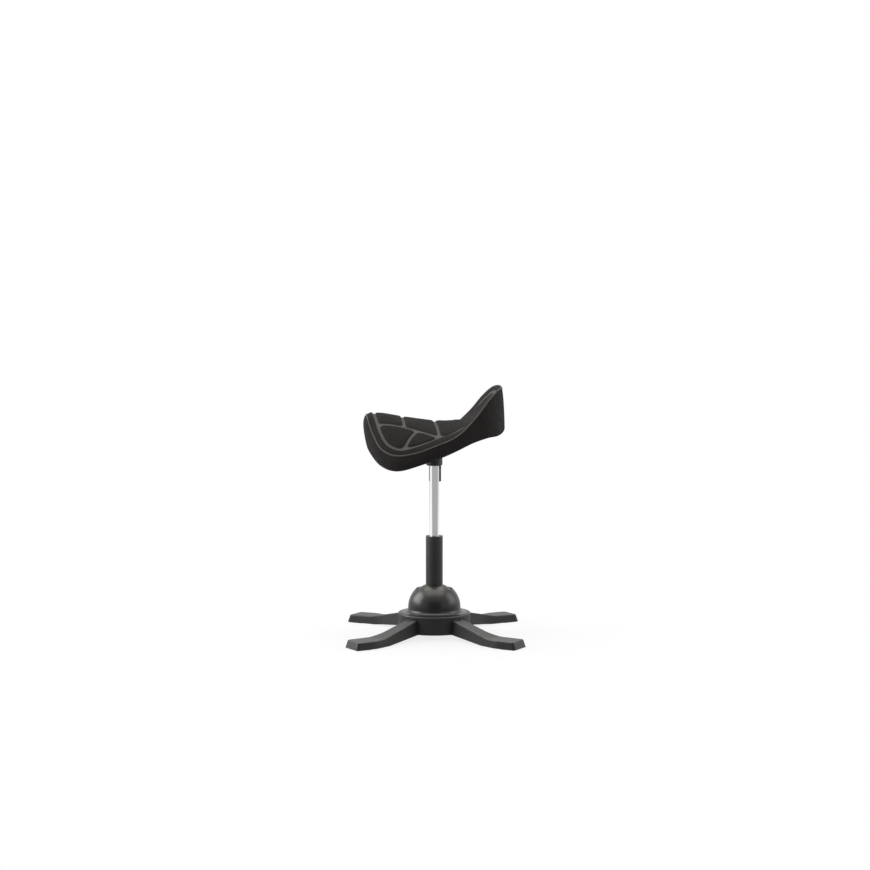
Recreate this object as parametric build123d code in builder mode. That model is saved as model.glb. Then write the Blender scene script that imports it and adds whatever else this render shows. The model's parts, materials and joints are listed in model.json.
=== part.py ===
from build123d import *

import os
from collections import namedtuple
from math import acos, asin, cos, degrees, radians, sin, sqrt, tan

# Balance chair: a quilted saddle seat on a gas lift that rocks in a domed four-leg base.
# The origin is on the floor under the column, +Z is up and the sitter faces -X.

os.makedirs("parts", exist_ok=True)

# Fits and gaps
slide_fit = 0.05          # radial room of a shaft, pin or bolt in its hole
air_gap = 0.3             # room between curved faces that pass each other
soft_gap = 1.5            # room round the foam and the pan inside the cover

# Rocking joint
pivot_height = 82.0       # centre of the ball above the floor
tilt_limit = 8.0          # degrees each way, fore and aft and to the sides
ball_radius = 44.0
ball_half_height = 30.0
neck_radius = 31.0
liner_wall = 3.7
seat_half_height = 22.0   # height of the cup's and the ring's bearing faces, each side of the pivot
cup_lip = 2.0
spigot_wall = 4.5
plate_rise = 42.0         # underside of the pressure plate above the pivot
plate_thickness = 4.0
bump_ring_offset = 1.2    # from the bearing face out to the bump ring
bump_ring_inset = 6.0     # from the clamp ring's edge in to the bump ring
bump_room = 0.6
clamp_screw_count = 6
clamp_screw_radius = 2.5
clamp_head_radius = 5.0

# Dome and its moving cap
dome_radius = 77.3
dome_wall = 3.0
dome_mouth_radius = 54.0
dome_gap = 2.6
dome_skirt = 1.0          # straight stretch under the dome's widest circle
dome_lip = 1.0
dome_flare = 20.0         # how far the dome's foot sweeps out
cap_wall = 3.0
cap_margin = 2.5          # degrees of cap still hidden at full tilt
cap_room = 1.0            # room under the cap for the fixed ring and the plate
cap_sleeve_wall = 5.0
dome_screw_count = 4
dome_screw_radius = 2.0
dome_screw_head_radius = 4.0
dome_screw_head_height = 3.0
dome_screw_bite = 4.0
dome_screw_turn = 20.0
dome_screw_inset = 4.0    # from the dome's inner wall out to the screws

# Hub
hub_radius = 107.0
hub_top = 67.0
hub_bottom = 14.0
hub_wall = 6.0
hub_plate = 10.0
hub_edge_radius = 3.0
collar_wall = 10.6
collar_depth = 12.0
hub_rib_thickness = 5.0
hub_rib_bottom = 24.0

# Legs
leg_names = ["rear_right", "front_right", "front_left", "rear_left"]
leg_angle = 51.0          # degrees of the arms from the base's own length
base_turn = -1.0          # degrees that the base stands turned under the seat
leg_draft = 7.0           # degrees
leg_wall = 5.0
leg_edge_radius = 3.0
leg_top_tilt = 30.0       # degrees from level within which a face belongs to a leg's top
arm_half_width = 25.0     # at floor level, before the draft
foot_turn = 21.0          # degrees that a foot is turned out of its arm towards the base's length
foot_reach = 346.0        # from the column to the middle of the foot's end, along the arm
foot_swing = 33.0         # and across it
foot_half_width = 37.0
foot_length = 56.0
foot_corner_radius = 9.0
inner_bend_radius = 95.0
outer_bend_radius = 60.0
foot_top = 22.0
foot_end_slope = 18.0     # degrees that the end of a foot leans in
ankle_reach = 258.0       # from the column to where the arm's slope ends
ankle_top = 24.5
ankle_radius = 90.0
heel_reach = 240.0        # from the column to where the underside comes down to the pads
leg_root_bottom = 16.0
leg_rib_thickness = 3.0
leg_rib_count = 3
tongue_half_width = 15.0
tongue_thickness = 12.0
tongue_gap = 3.0          # between a tongue's end and the hub's collar
leg_bolt_radius = 4.0
leg_bolt_head_radius = 6.5
leg_bolt_head_height = 8.0
leg_bolt_bite = 6.0
leg_bolt_inset = 11.0     # from the tongue's end to the first bolt
leg_bolt_spacing = 18.0

# Foot pads
pad_thickness = 1.5       # of the sole below the foot's rim
pad_inset = 4.0
pad_plug_height = 3.0
pad_plug_inset = 3.0

# Gas lift
tube_radius = 25.0
tube_nose_radius = 24.0   # the tube tapers to this at its lower end
tube_wall = 2.5
tube_bottom = 28.0
tube_floor = 3.0
tube_floor_hole = 9.0
tube_top = 281.0
bush_collar = 13.0
bush_depth = 60.0
stroke = 180.0
rod_radius = 5.0
rod_groove_radius = 4.0
rod_tail = 3.0
clip_radius = 11.0
clip_thickness = 2.0
washer_radius = 18.0
washer_thickness = 2.0
washer_room = 1.5
race_ball_radius = 2.0
race_ball_count = 10
race_radius = 12.0
cage_wall = 3.5
cage_thickness = 2.0
rod_collar_radius = 9.0
rod_collar_height = 4.0
stop_radius = 10.0
stop_height = 7.0
stop_room = 2.0
lift_radius = 14.0
lift_wall = 2.5
gland_height = 14.0
piston_height = 12.0
piston_spigot_radius = 3.0
piston_travel_left = 34.0  # from the gland to the piston with the seat raised
lift_top = 536.0
lift_head = 28.0
lift_nose_radius = 12.9   # top of the cone that holds the seat

# Seat fixing and release lever
socket_bottom = 502.0
socket_radius = 24.0
socket_spigot_radius = 20.0
socket_edge_radius = 4.0
tray_bottom = 540.0
tray_thickness = 3.0
tray_depth = 27.0
tray_floor_half_length = 40.0
tray_slope = 12.0
tray_half_length = 82.0
tray_half_width = 50.0
tray_bolt_x = 66.0
tray_bolt_y = 36.0
tray_bolt_radius = 3.0
tray_bolt_head_radius = 5.5
tray_bolt_head_height = 4.0
insert_radius = 5.0
insert_height = 10.0
button_radius = 4.0
button_length = 17.0
button_rise = 9.0         # above the lift's top
lever_pivot_y = 32.0
lever_hub_radius = 6.0
lever_hub_half_length = 10.0
lever_rod_radius = 4.0
lever_pin_radius = 3.0
ear_thickness = 3.0
ear_half_depth = 8.0
finger_half_width = 7.0
lever_reach = 110.0
lever_bend_radius = 14.0
paddle_half_width = 18.0
paddle_thickness = 5.0
paddle_top = 500.0
paddle_bottom = 442.0
paddle_top_corner = 14.0
paddle_bottom_corner = 3.0
paddle_shift = 6.0        # the paddle's middle is this far behind the column

# Saddle seat
seat_half_length = 202.0
seat_half_width = 185.0
seat_shift = -1.0
pan_boss_height = 11.0
pan_thickness = 8.0
cover_thickness = 2.0
band_bulge = 4.0          # of the cover's side band
foam_bulge = 0.5
channel_width = 8.0
channel_depth = 5.0
border_inset = 18.0
quilt_thickness = 7.0     # fabric and wadding between the channels
clear_depth = 46.0        # from the seat's underside to well below it
end_sharpness = 9         # odd power that keeps an inset at the two ends

# Sizes that follow from the above
corner_tilt = degrees(acos(cos(radians(tilt_limit)) ** 2))
cup_radius = ball_radius + air_gap + liner_wall + air_gap
cap_radius = dome_radius - dome_wall - dome_gap
cap_inner_radius = cap_radius - cap_wall
mouth_angle = degrees(asin(dome_mouth_radius / dome_radius))
cap_angle = mouth_angle + corner_tilt + cap_margin
ring_radius = sqrt((cap_inner_radius - cap_room) ** 2 - seat_half_height ** 2)
plate_radius = sqrt((cap_inner_radius - cap_room) ** 2 - (plate_rise + plate_thickness) ** 2)
hub_drop = pivot_height - hub_top
spigot_radius = sqrt(cup_radius ** 2 - hub_drop ** 2) + spigot_wall
clamp_circle = (cup_radius + ring_radius) / 2
hub_underside = hub_top - hub_plate
collar_radius = spigot_radius + collar_wall
tongue_start = collar_radius + tongue_gap
tongue_bottom = hub_underside - tongue_thickness
leg_root = hub_radius - 2 * hub_wall
leg_angles = [base_turn + turn for turn in (leg_angle, 180 - leg_angle, 180 + leg_angle, -leg_angle)]
leg_bolt_circles = [tongue_start + leg_bolt_inset, tongue_start + leg_bolt_inset + leg_bolt_spacing]
leg_bolt_places = [
    (circle * cos(radians(turn)), circle * sin(radians(turn)))
    for turn in leg_angles for circle in leg_bolt_circles
]
foot_along = Vector(cos(radians(foot_turn)), -sin(radians(foot_turn)))
foot_across = Vector(sin(radians(foot_turn)), cos(radians(foot_turn)))
foot_end = Vector(foot_reach, -foot_swing)
dome_screw_circle = dome_radius - dome_wall + dome_screw_inset
tube_bore = tube_radius - tube_wall
lift_bore = lift_radius - lift_wall
race_bottom = tube_bottom + tube_floor + washer_thickness
race_top = race_bottom + 2 * race_ball_radius
collar_bottom = race_top + washer_thickness
stop_bottom = collar_bottom + rod_collar_height
lift_bottom = stop_bottom + stop_height + stop_room + stroke
piston_bottom = lift_bottom + gland_height + piston_travel_left
tray_top = tray_bottom + tray_depth
seat_base = tray_top + pan_boss_height
button_top = lift_top + button_rise
lever_pivot_z = button_top + air_gap + lever_hub_radius


def save(piece, name):
    """Label a finished piece and write it to its own file."""
    piece.part.label = name
    export_step(piece.part, f"parts/{name}.step")


def on_sphere(radius, elevation):
    """Point of a vertical section at this distance from the pivot, as (radius, height)."""
    angle = radians(elevation)
    return (radius * cos(angle), pivot_height + radius * sin(angle))


def at_height(radius, rise):
    """Point of a sphere about the pivot at this height above it, as (radius, height)."""
    return (sqrt(radius ** 2 - rise ** 2), pivot_height + rise)


def make_ring(inner, outer, bottom, top):
    """A plain turned ring about the column."""
    with BuildPart() as ring:
        with BuildSketch(Plane.XY.offset(bottom)):
            Circle(outer)
            Circle(inner, mode=Mode.SUBTRACT)
        extrude(amount=top - bottom)
    return ring


# Hub: a ring wall under a thick plate, with a collar for the cup and ribs between the legs
with BuildPart() as hub_casting:
    with BuildSketch(Plane.XZ):
        with BuildLine():
            Polyline(
                (spigot_radius + slide_fit, hub_underside - collar_depth),
                (spigot_radius + slide_fit, hub_top),
                (hub_radius, hub_top),
                (hub_radius, hub_bottom),
                (hub_radius - hub_wall, hub_bottom),
                (hub_radius - hub_wall, hub_underside),
                (collar_radius, hub_underside),
                (collar_radius, hub_underside - collar_depth),
                close=True,
            )
        make_face()
    revolve(axis=Axis.Z)
    hub_circles = hub_casting.edges().filter_by(GeomType.CIRCLE)
    fillet(hub_circles.filter_by(lambda edge: edge.radius > hub_radius - slide_fit), hub_edge_radius)
    rib_start = collar_radius - collar_wall / 4
    rib_end = hub_radius - hub_wall / 4
    with BuildSketch(Plane.XY.offset(hub_rib_bottom)):
        with PolarLocations((rib_start + rib_end) / 2, len(leg_names)):
            Rectangle(rib_end - rib_start, hub_rib_thickness)
    extrude(amount=hub_underside - hub_rib_bottom)
    with BuildSketch(Plane.XY.offset(tongue_bottom - air_gap)):
        for turn in leg_angles:
            with PolarLocations(hub_radius, 1, start_angle=turn):
                Rectangle(2 * (hub_radius - leg_root), 2 * (tongue_half_width + air_gap))
    extrude(amount=tongue_thickness + air_gap, mode=Mode.SUBTRACT)
    with BuildSketch(Plane.XY.offset(hub_underside)):
        with Locations(*leg_bolt_places):
            Circle(leg_bolt_radius + slide_fit)
    extrude(amount=leg_bolt_bite + air_gap, mode=Mode.SUBTRACT)
    with BuildSketch(Plane.XY.offset(hub_underside - collar_depth)):
        with PolarLocations(clamp_circle, clamp_screw_count):
            Circle(clamp_screw_radius + slide_fit)
    extrude(amount=hub_plate + collar_depth, mode=Mode.SUBTRACT)
    with BuildSketch(Plane.XY.offset(hub_underside)):
        with PolarLocations(dome_screw_circle, dome_screw_count, start_angle=dome_screw_turn):
            Circle(dome_screw_radius + slide_fit)
    extrude(amount=hub_plate, mode=Mode.SUBTRACT)
save(hub_casting, "hub_casting")


def bend_point(corner, side):
    """Where a foot's edge, run back from its end corner, meets the side of the arm."""
    return corner + foot_along * ((side - corner.Y) / foot_along.Y)


def leg_form(inset, drop):
    """Solid of a leg along +X, drawn in at its sides and its end and lowered as a whole."""
    arm = arm_half_width - inset
    inner_end = foot_end + foot_along * foot_corner_radius - foot_across * (foot_half_width - inset)
    outer_end = foot_end + foot_along * foot_corner_radius + foot_across * (foot_half_width - inset)
    arm_slope = (hub_underside - ankle_top) / (ankle_reach - hub_radius)
    root_top = hub_underside + arm_slope * (hub_radius - leg_root)
    beyond = foot_reach + foot_half_width
    with BuildPart() as form:
        with BuildSketch():
            with BuildLine():
                FilletPolyline(
                    (leg_root, -arm),
                    bend_point(inner_end, -arm),
                    inner_end,
                    outer_end,
                    bend_point(outer_end, arm),
                    (leg_root, arm),
                    radius=[0, inner_bend_radius, 0, 0, outer_bend_radius, 0],
                    close=True,
                )
            make_face()
        extrude(amount=hub_top, taper=leg_draft)
        with BuildSketch(Plane.XZ.offset(-beyond)):
            with BuildLine():
                FilletPolyline(
                    (leg_root, leg_root_bottom - drop),
                    (heel_reach, pad_thickness - drop),
                    (beyond, pad_thickness - drop),
                    (beyond, foot_top - drop),
                    (ankle_reach, ankle_top - drop),
                    (leg_root, root_top - drop),
                    radius=[0, 0, 0, 0, ankle_radius, 0],
                    close=True,
                )
            make_face()
        extrude(amount=2 * beyond, mode=Mode.INTERSECT)
        end_foot = foot_end - foot_along * inset + Vector(0, 0, pad_thickness - drop)
        lean = radians(foot_end_slope)
        end_normal = foot_along * cos(lean) + Vector(0, 0, sin(lean))
        end_plane = Plane(end_foot, x_dir=foot_across, z_dir=end_normal)
        split(bisect_by=end_plane, keep=Keep.BOTTOM)
    return form.part


leg_hollow = leg_form(leg_wall, leg_wall)
rib_pitch = (heel_reach - hub_radius) / leg_rib_count

# Inside of a leg: the hollow under its walls, less the cross ribs and the root wall
with BuildPart() as leg_core:
    add(leg_hollow)
    with BuildSketch():
        for rib in range(1, leg_rib_count + 1):
            with Locations((hub_radius + rib * rib_pitch, 0)):
                Rectangle(leg_rib_thickness, 2 * foot_half_width)
        Circle(hub_radius + leg_wall)
    extrude(amount=hub_top, mode=Mode.SUBTRACT)

# Leg: an open-bottomed arm with a turned-out foot and a tongue that is bolted under the hub's plate
with BuildPart() as leg:
    add(leg_form(0, 0))
    end_face = leg.faces().sort_by_distance(foot_end + Vector(0, 0, foot_top / 2))[0]
    fillet(end_face.edges().filter_by(lambda edge: edge.length < foot_half_width), foot_corner_radius)
    top_faces = leg.faces().filter_by(lambda face: face.normal_at().Z > cos(radians(leg_top_tilt)))
    top_edges = [edge for face in top_faces for edge in face.edges() if edge.center().X > hub_radius]
    fillet([edge for edge in top_edges if top_edges.count(edge) == 1], leg_edge_radius)
    add(leg_core.part, mode=Mode.SUBTRACT)
    with BuildSketch():
        Circle(hub_radius + air_gap)
    extrude(amount=hub_top, mode=Mode.SUBTRACT)
    with BuildSketch(Plane.XY.offset(tongue_bottom)):
        with Locations(((tongue_start + hub_radius + leg_wall) / 2, 0)):
            Rectangle(hub_radius + leg_wall - tongue_start, 2 * tongue_half_width)
    extrude(amount=tongue_thickness)
    with BuildSketch(Plane.XY.offset(tongue_bottom)):
        for circle in leg_bolt_circles:
            with Locations((circle, 0)):
                Circle(leg_bolt_radius + slide_fit)
    extrude(amount=tongue_thickness, mode=Mode.SUBTRACT)

# Foot pad: a rubber sole with a plug that sits inside the foot's rim
with BuildPart() as foot_pad:
    foot_middle = foot_end - foot_along * (foot_length / 2)
    plug_inset = leg_wall + pad_plug_inset
    with BuildSketch(Plane(foot_middle, x_dir=foot_along)):
        RectangleRounded(
            foot_length - 2 * pad_inset, 2 * (foot_half_width - pad_inset), foot_corner_radius - pad_inset
        )
    extrude(amount=pad_thickness)
    with BuildSketch(Plane(foot_middle + Vector(0, 0, pad_thickness), x_dir=foot_along)):
        Rectangle(foot_length - 2 * plug_inset, 2 * (foot_half_width - plug_inset))
    extrude(amount=pad_plug_height)

# The four legs and pads: every second one is a mirror image
leg_hands = [leg.part, mirror(leg.part, about=Plane.XZ)]
pad_hands = [foot_pad.part, mirror(foot_pad.part, about=Plane.XZ)]
for number, leg_name in enumerate(leg_names):
    with BuildPart() as placed_leg:
        add(leg_hands[number % 2], rotation=(0, 0, leg_angles[number]))
    save(placed_leg, f"leg_{leg_name}")
    with BuildPart() as placed_pad:
        add(pad_hands[number % 2], rotation=(0, 0, leg_angles[number]))
    save(placed_pad, f"foot_pad_{leg_name}")

# Leg bolts: two under each tongue
with BuildPart() as leg_bolts:
    with BuildSketch(Plane.XY.offset(tongue_bottom)):
        with Locations(*leg_bolt_places):
            Circle(leg_bolt_head_radius)
    extrude(amount=-leg_bolt_head_height)
    with BuildSketch(Plane.XY.offset(tongue_bottom)):
        with Locations(*leg_bolt_places):
            Circle(leg_bolt_radius)
    extrude(amount=tongue_thickness + leg_bolt_bite)
save(leg_bolts, "leg_bolts")

# Socket cup: the lower half of the ball's housing, hung in the hub's plate
with BuildPart() as socket_cup:
    cup_split = pivot_height + cup_lip
    with BuildSketch(Plane.XZ):
        with BuildLine():
            seat_top = at_height(cup_radius, cup_lip)
            seat_bottom = at_height(cup_radius, -seat_half_height)
            ThreePointArc(seat_top, at_height(cup_radius, (cup_lip - seat_half_height) / 2), seat_bottom)
            Polyline(
                seat_bottom,
                (seat_bottom[0], seat_bottom[1] - cup_lip),
                (spigot_radius, seat_bottom[1] - cup_lip),
                (spigot_radius, hub_top),
                (ring_radius, hub_top),
                (ring_radius, cup_split),
                seat_top,
            )
        make_face()
    revolve(axis=Axis.Z)
    with BuildSketch(Plane.XY.offset(hub_top)):
        with PolarLocations(clamp_circle, clamp_screw_count):
            Circle(clamp_screw_radius + slide_fit)
    extrude(amount=cup_split - hub_top, mode=Mode.SUBTRACT)
save(socket_cup, "socket_cup")

# Clamp ring: the upper half of the ball's housing, with sunk screw heads
with BuildPart() as clamp_ring:
    ring_top = pivot_height + seat_half_height
    with BuildSketch(Plane.XZ):
        with BuildLine():
            bearing_low = at_height(cup_radius, cup_lip)
            bearing_high = at_height(cup_radius, seat_half_height)
            ThreePointArc(bearing_low, at_height(cup_radius, (cup_lip + seat_half_height) / 2), bearing_high)
            Polyline(bearing_high, (ring_radius, ring_top), (ring_radius, cup_split), bearing_low)
        make_face()
    revolve(axis=Axis.Z)
    with Locations(Plane.XY.offset(ring_top)):
        with PolarLocations(clamp_circle, clamp_screw_count):
            CounterSinkHole(
                clamp_screw_radius + slide_fit, clamp_head_radius + slide_fit, counter_sink_angle=90
            )
save(clamp_ring, "clamp_ring")

# Clamp screws: countersunk, from the ring through the cup into the hub's collar
with BuildPart() as clamp_screws:
    head_height = clamp_head_radius - clamp_screw_radius
    with BuildSketch(Plane.XY.offset(ring_top)):
        with PolarLocations(clamp_circle, clamp_screw_count):
            Circle(clamp_head_radius)
    extrude(amount=-head_height, taper=45)
    with BuildSketch(Plane.XY.offset(ring_top - head_height)):
        with PolarLocations(clamp_circle, clamp_screw_count):
            Circle(clamp_screw_radius)
    extrude(amount=-(ring_top - head_height - hub_underside))
save(clamp_screws, "clamp_screws")

# Bump ring: rubber whose sloped top meets the pressure plate at full tilt
with BuildPart() as bump_ring:
    bump_inner = cup_radius + bump_ring_offset
    bump_outer = ring_radius - bump_ring_inset
    stop_plane = plate_rise / cos(radians(corner_tilt)) - bump_room
    stop_slope = tan(radians(corner_tilt))
    with BuildSketch(Plane.XZ):
        with BuildLine():
            Polyline(
                (bump_inner, ring_top),
                (bump_outer, ring_top),
                (bump_outer, pivot_height + stop_plane - bump_outer * stop_slope),
                (bump_inner, pivot_height + stop_plane - bump_inner * stop_slope),
                close=True,
            )
        make_face()
    revolve(axis=Axis.Z)
save(bump_ring, "bump_ring")

# Dome cover: a ball-shaped shell with a wide mouth and a foot that sweeps out onto the hub
with BuildPart() as dome_cover:
    foot_radius = dome_radius + dome_flare
    mouth_up = 90 - mouth_angle
    with BuildSketch(Plane.XZ):
        with BuildLine():
            outer_mouth = on_sphere(dome_radius, mouth_up)
            inner_mouth = on_sphere(dome_radius - dome_wall, mouth_up)
            skirt_end = (dome_radius, pivot_height - dome_skirt)
            lip_top = (foot_radius, hub_top + dome_lip)
            ThreePointArc(outer_mouth, on_sphere(dome_radius, mouth_up / 2), on_sphere(dome_radius, 0))
            Line(on_sphere(dome_radius, 0), skirt_end)
            Bezier(skirt_end, (dome_radius, hub_top + dome_lip), lip_top)
            Polyline(
                lip_top,
                (foot_radius, hub_top),
                (dome_radius - dome_wall, hub_top),
                on_sphere(dome_radius - dome_wall, 0),
            )
            ThreePointArc(
                on_sphere(dome_radius - dome_wall, 0),
                on_sphere(dome_radius - dome_wall, mouth_up / 2),
                inner_mouth,
            )
            Line(inner_mouth, outer_mouth)
        make_face()
    revolve(axis=Axis.Z)
    with BuildSketch(Plane.XY.offset(hub_top)):
        with PolarLocations(dome_screw_circle, dome_screw_count, start_angle=dome_screw_turn):
            Circle(dome_screw_radius + slide_fit)
    extrude(amount=dome_screw_bite + air_gap, mode=Mode.SUBTRACT)
save(dome_cover, "dome_cover")

# Dome screws: from under the hub's plate into the dome's foot
with BuildPart() as dome_screws:
    with BuildSketch(Plane.XY.offset(hub_underside)):
        with PolarLocations(dome_screw_circle, dome_screw_count, start_angle=dome_screw_turn):
            Circle(dome_screw_head_radius)
    extrude(amount=-dome_screw_head_height)
    with BuildSketch(Plane.XY.offset(hub_underside)):
        with PolarLocations(dome_screw_circle, dome_screw_count, start_angle=dome_screw_turn):
            Circle(dome_screw_radius)
    extrude(amount=hub_plate + dome_screw_bite)
save(dome_screws, "dome_screws")

# Bearing liner: a nylon band between the ball and its housing
with BuildPart() as bearing_liner:
    liner_inner = ball_radius + air_gap
    liner_outer = liner_inner + liner_wall
    with BuildSketch(Plane.XZ):
        with BuildLine():
            ThreePointArc(
                at_height(liner_outer, -seat_half_height),
                at_height(liner_outer, 0),
                at_height(liner_outer, seat_half_height),
            )
            Line(at_height(liner_outer, seat_half_height), at_height(liner_inner, seat_half_height))
            ThreePointArc(
                at_height(liner_inner, seat_half_height),
                at_height(liner_inner, 0),
                at_height(liner_inner, -seat_half_height),
            )
            Line(at_height(liner_inner, -seat_half_height), at_height(liner_outer, -seat_half_height))
        make_face()
    revolve(axis=Axis.Z)
save(bearing_liner, "bearing_liner")


def tube_outside(height):
    """Radius of the tapered column tube at a height at or below the pressure plate."""
    share = (height - tube_bottom) / (pivot_height + plate_rise - tube_bottom)
    return tube_nose_radius + (tube_radius - tube_nose_radius) * share


# Ball hub: the ball with a neck, bored with the taper that grips the column tube
with BuildPart() as ball_hub:
    neck_top_height = pivot_height + plate_rise
    ball_low = at_height(ball_radius, -ball_half_height)
    ball_high = at_height(ball_radius, ball_half_height)
    with BuildSketch(Plane.XZ):
        with BuildLine():
            ThreePointArc(ball_low, at_height(ball_radius, 0), ball_high)
            Polyline(
                ball_high,
                (neck_radius, ball_high[1]),
                (neck_radius, neck_top_height),
                (tube_radius + slide_fit, neck_top_height),
                (tube_outside(ball_low[1]) + slide_fit, ball_low[1]),
                ball_low,
            )
        make_face()
    revolve(axis=Axis.Z)
save(ball_hub, "ball_hub")

# Pressure plate: rests on the ball's neck and meets the bump ring at full tilt
plate_top = pivot_height + plate_rise + plate_thickness
pressure_plate = make_ring(tube_radius + slide_fit, plate_radius, plate_top - plate_thickness, plate_top)
save(pressure_plate, "pressure_plate")

# Outer tube: tapered at its lower end and closed there by a floor with a hole for the rod
with BuildPart() as outer_tube:
    with BuildSketch(Plane.XZ):
        with BuildLine():
            Polyline(
                (tube_floor_hole, tube_bottom),
                (tube_nose_radius, tube_bottom),
                (tube_radius, neck_top_height),
                (tube_radius, tube_top),
                (tube_bore, tube_top),
                (tube_bore, neck_top_height),
                (tube_nose_radius - tube_wall, tube_bottom + tube_floor),
                (tube_floor_hole, tube_bottom + tube_floor),
                close=True,
            )
        make_face()
    revolve(axis=Axis.Z)
save(outer_tube, "outer_tube")

# Guide bush: plastic sleeve in the top of the tube, with a collar on its rim
with BuildPart() as guide_bush:
    with BuildSketch(Plane.XY.offset(tube_top - bush_depth)):
        Circle(tube_bore - slide_fit)
    extrude(amount=bush_depth)
    with BuildSketch(Plane.XY.offset(tube_top)):
        Circle(tube_radius)
    extrude(amount=bush_collar)
    with BuildSketch(Plane.XY.offset(tube_top - bush_depth)):
        Circle(lift_radius + slide_fit)
    extrude(amount=bush_depth + bush_collar, mode=Mode.SUBTRACT)
save(guide_bush, "guide_bush")

# Dome cap: a thin cap that turns with the column under the dome's mouth
with BuildPart() as dome_cap:
    cap_low = 90 - cap_angle
    sleeve_radius = tube_radius + slide_fit + cap_sleeve_wall
    with BuildSketch(Plane.XZ):
        with BuildLine():
            outer_up = degrees(acos((tube_radius + slide_fit) / cap_radius))
            inner_up = degrees(acos(sleeve_radius / cap_inner_radius))
            outer_top = on_sphere(cap_radius, outer_up)
            inner_top = on_sphere(cap_inner_radius, inner_up)
            outer_low = on_sphere(cap_radius, cap_low)
            inner_low = on_sphere(cap_inner_radius, cap_low)
            ThreePointArc(outer_top, on_sphere(cap_radius, (cap_low + outer_up) / 2), outer_low)
            Line(outer_low, inner_low)
            ThreePointArc(inner_low, on_sphere(cap_inner_radius, (cap_low + inner_up) / 2), inner_top)
            Polyline(
                inner_top,
                (sleeve_radius, plate_top),
                (tube_radius + slide_fit, plate_top),
                outer_top,
            )
        make_face()
    revolve(axis=Axis.Z)
save(dome_cap, "dome_cap")

# Thrust bearing on the tube's floor
lower_washer = make_ring(
    rod_radius + washer_room, washer_radius, race_bottom - washer_thickness, race_bottom
)
save(lower_washer, "thrust_washer_lower")
upper_washer = make_ring(rod_radius + slide_fit, washer_radius, race_top, race_top + washer_thickness)
save(upper_washer, "thrust_washer_upper")

with BuildPart() as bearing_cage:
    with BuildSketch(Plane.XY.offset(race_bottom + race_ball_radius - cage_thickness / 2)):
        Circle(race_radius + cage_wall)
        Circle(race_radius - cage_wall, mode=Mode.SUBTRACT)
        with PolarLocations(race_radius, race_ball_count):
            Circle(race_ball_radius + slide_fit, mode=Mode.SUBTRACT)
    extrude(amount=cage_thickness)
save(bearing_cage, "bearing_cage")

with BuildPart() as bearing_balls:
    with Locations(Plane.XY.offset(race_bottom + race_ball_radius)):
        with PolarLocations(race_radius, race_ball_count):
            Sphere(race_ball_radius - slide_fit)
save(bearing_balls, "bearing_balls")

# Piston rod: held in the floor by a clip, with a collar on the thrust bearing
with BuildPart() as piston_rod:
    rod_bottom = tube_bottom - air_gap - clip_thickness - rod_tail
    groove_bottom = tube_bottom - air_gap - clip_thickness
    piston_top = piston_bottom + piston_height
    with BuildSketch(Plane.XZ):
        with BuildLine():
            Polyline(
                (0, rod_bottom),
                (rod_radius, rod_bottom),
                (rod_radius, groove_bottom),
                (rod_groove_radius, groove_bottom),
                (rod_groove_radius, groove_bottom + clip_thickness),
                (rod_radius, groove_bottom + clip_thickness),
                (rod_radius, collar_bottom),
                (rod_collar_radius, collar_bottom),
                (rod_collar_radius, stop_bottom),
                (rod_radius, stop_bottom),
                (rod_radius, piston_bottom),
                (piston_spigot_radius, piston_bottom),
                (piston_spigot_radius, piston_top),
                (0, piston_top),
                close=True,
            )
        make_face()
    revolve(axis=Axis.Z)
save(piston_rod, "piston_rod")

retaining_clip = make_ring(
    rod_groove_radius + slide_fit, clip_radius, groove_bottom, groove_bottom + clip_thickness
)
save(retaining_clip, "retaining_clip")
bump_stop = make_ring(rod_radius + slide_fit, stop_radius, stop_bottom, stop_bottom + stop_height)
save(bump_stop, "bump_stop")
piston = make_ring(piston_spigot_radius + slide_fit, lift_bore - slide_fit, piston_bottom, piston_top)
save(piston, "piston")

# Pressure tube: the bright tube that slides in the bush, coned at the top for the socket
with BuildPart() as pressure_tube:
    with BuildSketch(Plane.XZ):
        with BuildLine():
            Polyline(
                (lift_bore, lift_bottom),
                (lift_radius, lift_bottom),
                (lift_radius, socket_bottom),
                (lift_nose_radius, lift_top),
                (button_radius + slide_fit, lift_top),
                (button_radius + slide_fit, lift_top - lift_head),
                (lift_bore, lift_top - lift_head),
                close=True,
            )
        make_face()
    revolve(axis=Axis.Z)
save(pressure_tube, "pressure_tube")

rod_gland = make_ring(
    rod_radius + slide_fit, lift_bore - slide_fit, lift_bottom, lift_bottom + gland_height
)
save(rod_gland, "rod_gland")

# Release button: the valve pin on top of the lift
with BuildPart() as release_button:
    with BuildSketch(Plane.XY.offset(button_top - button_length)):
        Circle(button_radius)
    extrude(amount=button_length)
save(release_button, "release_button")

# Taper socket: the collar that grips the lift's cone, with a spigot in the tray
with BuildPart() as taper_socket:
    with BuildSketch(Plane.XZ):
        with BuildLine():
            FilletPolyline(
                (lift_radius + slide_fit, socket_bottom),
                (socket_radius, socket_bottom),
                (socket_radius, tray_bottom),
                (socket_spigot_radius, tray_bottom),
                (socket_spigot_radius, tray_bottom + tray_thickness),
                (lift_nose_radius + slide_fit, tray_bottom + tray_thickness),
                (lift_nose_radius + slide_fit, lift_top),
                radius=[0, socket_edge_radius, 0, 0, 0, 0, 0],
                close=True,
            )
        make_face()
    revolve(axis=Axis.Z)
save(taper_socket, "taper_socket")

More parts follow.
